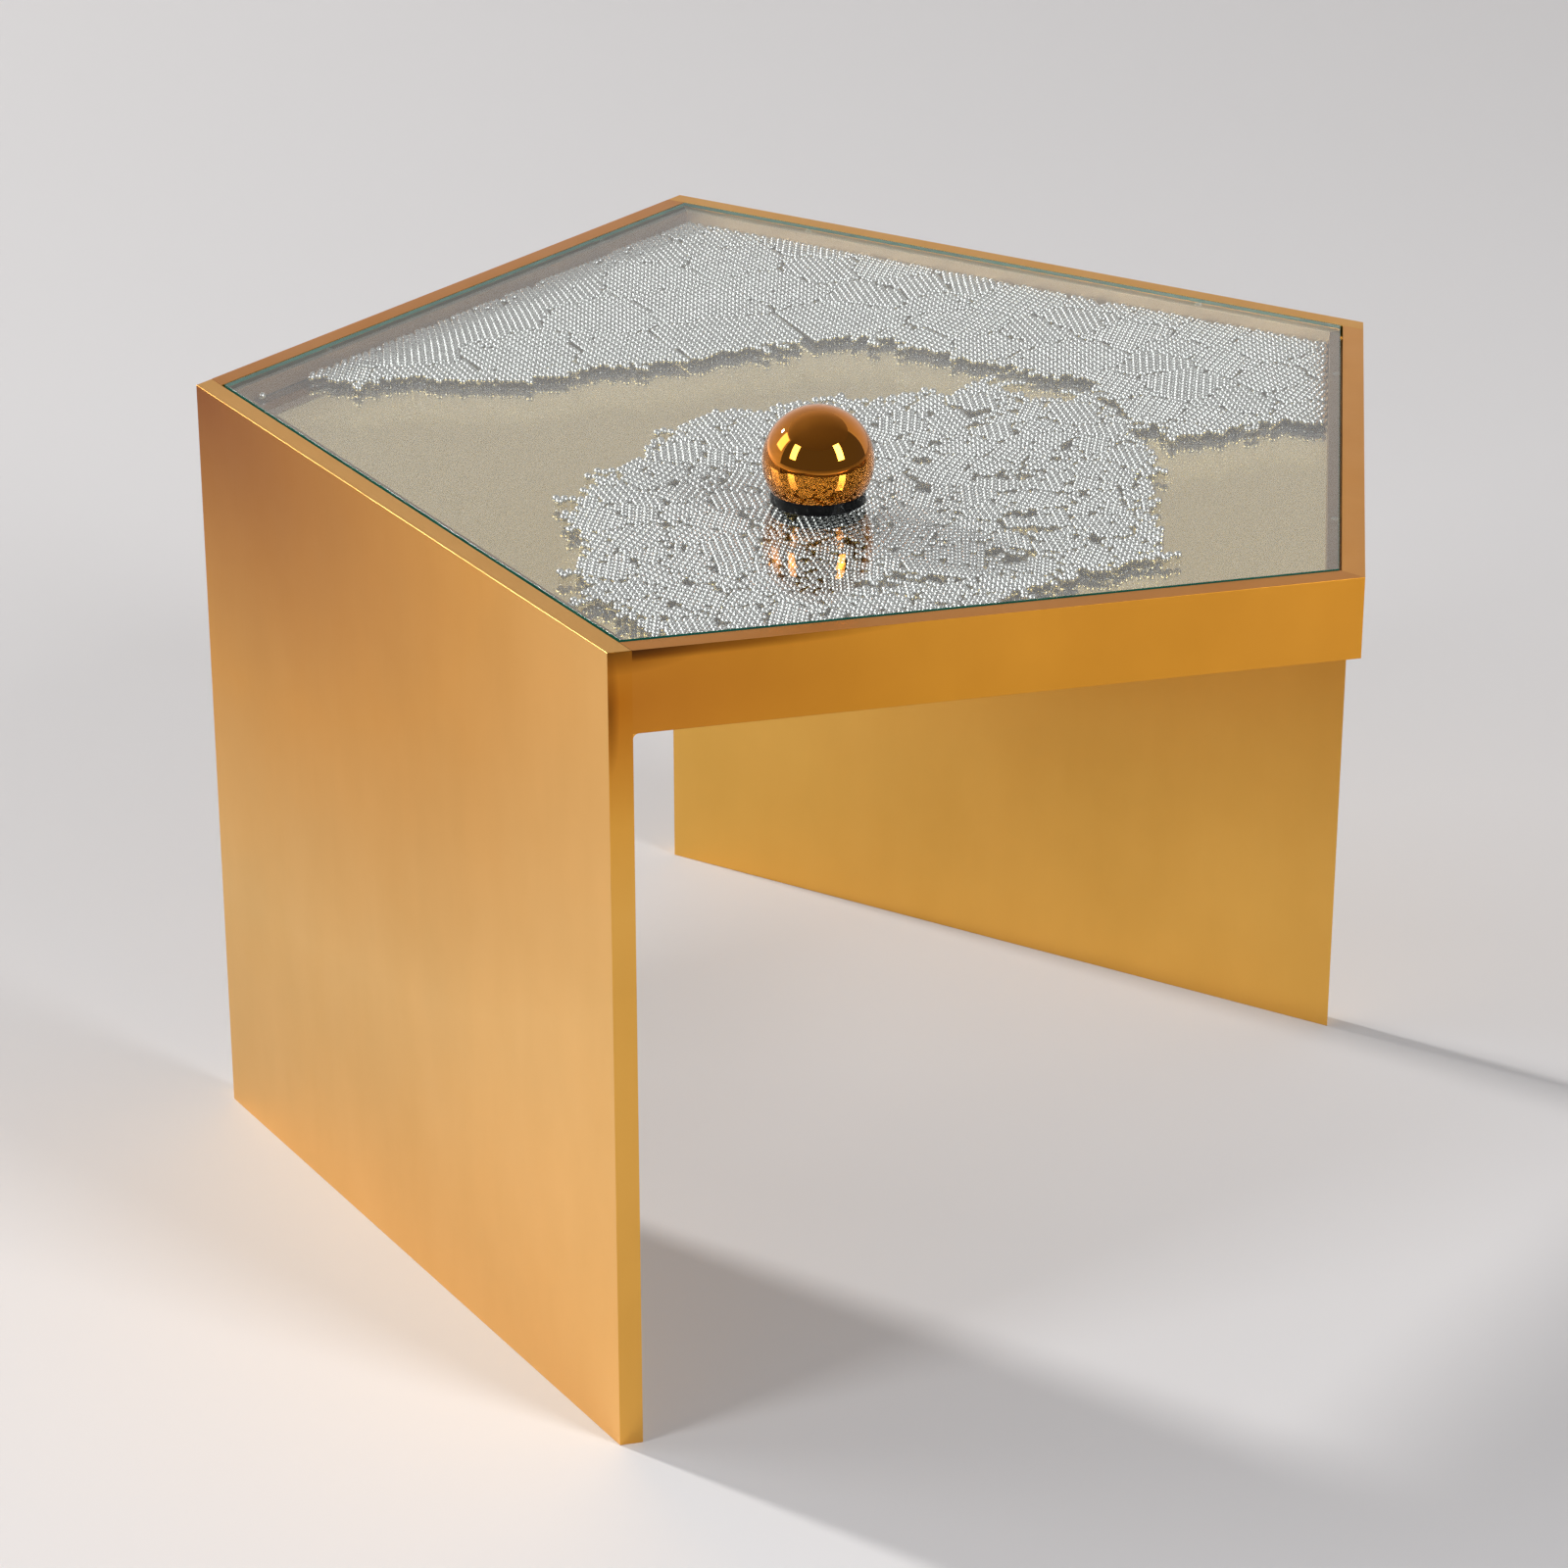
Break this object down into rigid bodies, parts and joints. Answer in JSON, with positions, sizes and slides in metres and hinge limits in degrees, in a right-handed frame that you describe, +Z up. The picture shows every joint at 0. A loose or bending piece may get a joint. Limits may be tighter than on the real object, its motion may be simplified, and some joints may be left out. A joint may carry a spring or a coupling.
{
  "type": "magnetic side table",
  "caption": "Five-sided brass-tone side table with a glass-topped mirror tray of loose steel balls and a spherical magnet that slides on the glass.",
  "frame": {"origin": "on the floor, at the middle of the overall plan box", "axes": "+Z up; X along the front apron, +X to the right; +Y towards the back corner"},
  "size_m": [0.678, 0.716, 0.51],
  "materials": {
    "frame_metal": "satin, brass tone",
    "zinc_steel": "zinc plated",
    "ledge_metal": "satin taupe",
    "board": "black painted fibreboard",
    "bronze_mirror": "bronze tinted mirror",
    "pane_glass": "clear float glass",
    "top_glass": "clear float glass with polished arrises",
    "clear_bumper": "clear silicone",
    "ball_steel": "polished steel",
    "felt": "black felt",
    "ring_rubber": "satin black",
    "magnet_nickel": "nickel plated magnet",
    "sphere_bronze": "mirror polished, dark bronze"
  },
  "bodies": {
    "table": {"leg_panel_left": "frame_metal", "leg_panel_rear": "frame_metal", "apron_front": "frame_metal", "apron_right": "frame_metal", "apron_back": "frame_metal", "joint_fillets": "frame_metal", "corner_gusset_a": "zinc_steel", "corner_gusset_b": "zinc_steel", "corner_gusset_c": "zinc_steel", "corner_gusset_d": "zinc_steel", "corner_gusset_e": "zinc_steel", "tray_lugs": "zinc_steel", "tray_screws": "zinc_steel", "tray_board": "board", "mirror_sheet": "bronze_mirror", "floor_pane": "pane_glass", "ledge_back": "ledge_metal", "ledge_rear": "ledge_metal", "ledge_right": "ledge_metal", "ledge_front": "ledge_metal", "ledge_left": "ledge_metal", "glass_bumpers": "clear_bumper", "rear_ball_bed": "ball_steel", "magnet_ball_cluster": "ball_steel"},
    "glass": {"glass_top": "top_glass"},
    "magnet_pad": {"felt_pad": "felt"},
    "magnet": {"base_ring": "ring_rubber", "disc_magnet": "magnet_nickel", "keeper_plate": "zinc_steel", "sphere_shell": "sphere_bronze", "magnet_screw": "zinc_steel"},
    "loose_ball": {"stray_ball": "ball_steel"}
  },
  "joints": [
    {"name": "glass_lift", "type": "slide", "parent": "table", "child": "glass", "axis": [0, 0, 1], "range_m": [0, 0.15]},
    {"name": "magnet_slide", "type": "slide", "parent": "glass", "child": "magnet_pad", "axis": [1, 0, 0], "range_m": [-0.165, 0.262]},
    {"name": "magnet_spin", "type": "hinge", "parent": "magnet_pad", "child": "magnet", "pos_m": [-0.045, -0.183, 0.4575], "axis": [0, 0, 1], "continuous": true},
    {"name": "ball_roll", "type": "slide", "parent": "table", "child": "loose_ball", "axis": [0.3038, -0.9527, 0], "range_m": [0, 0.33]}
  ]
}
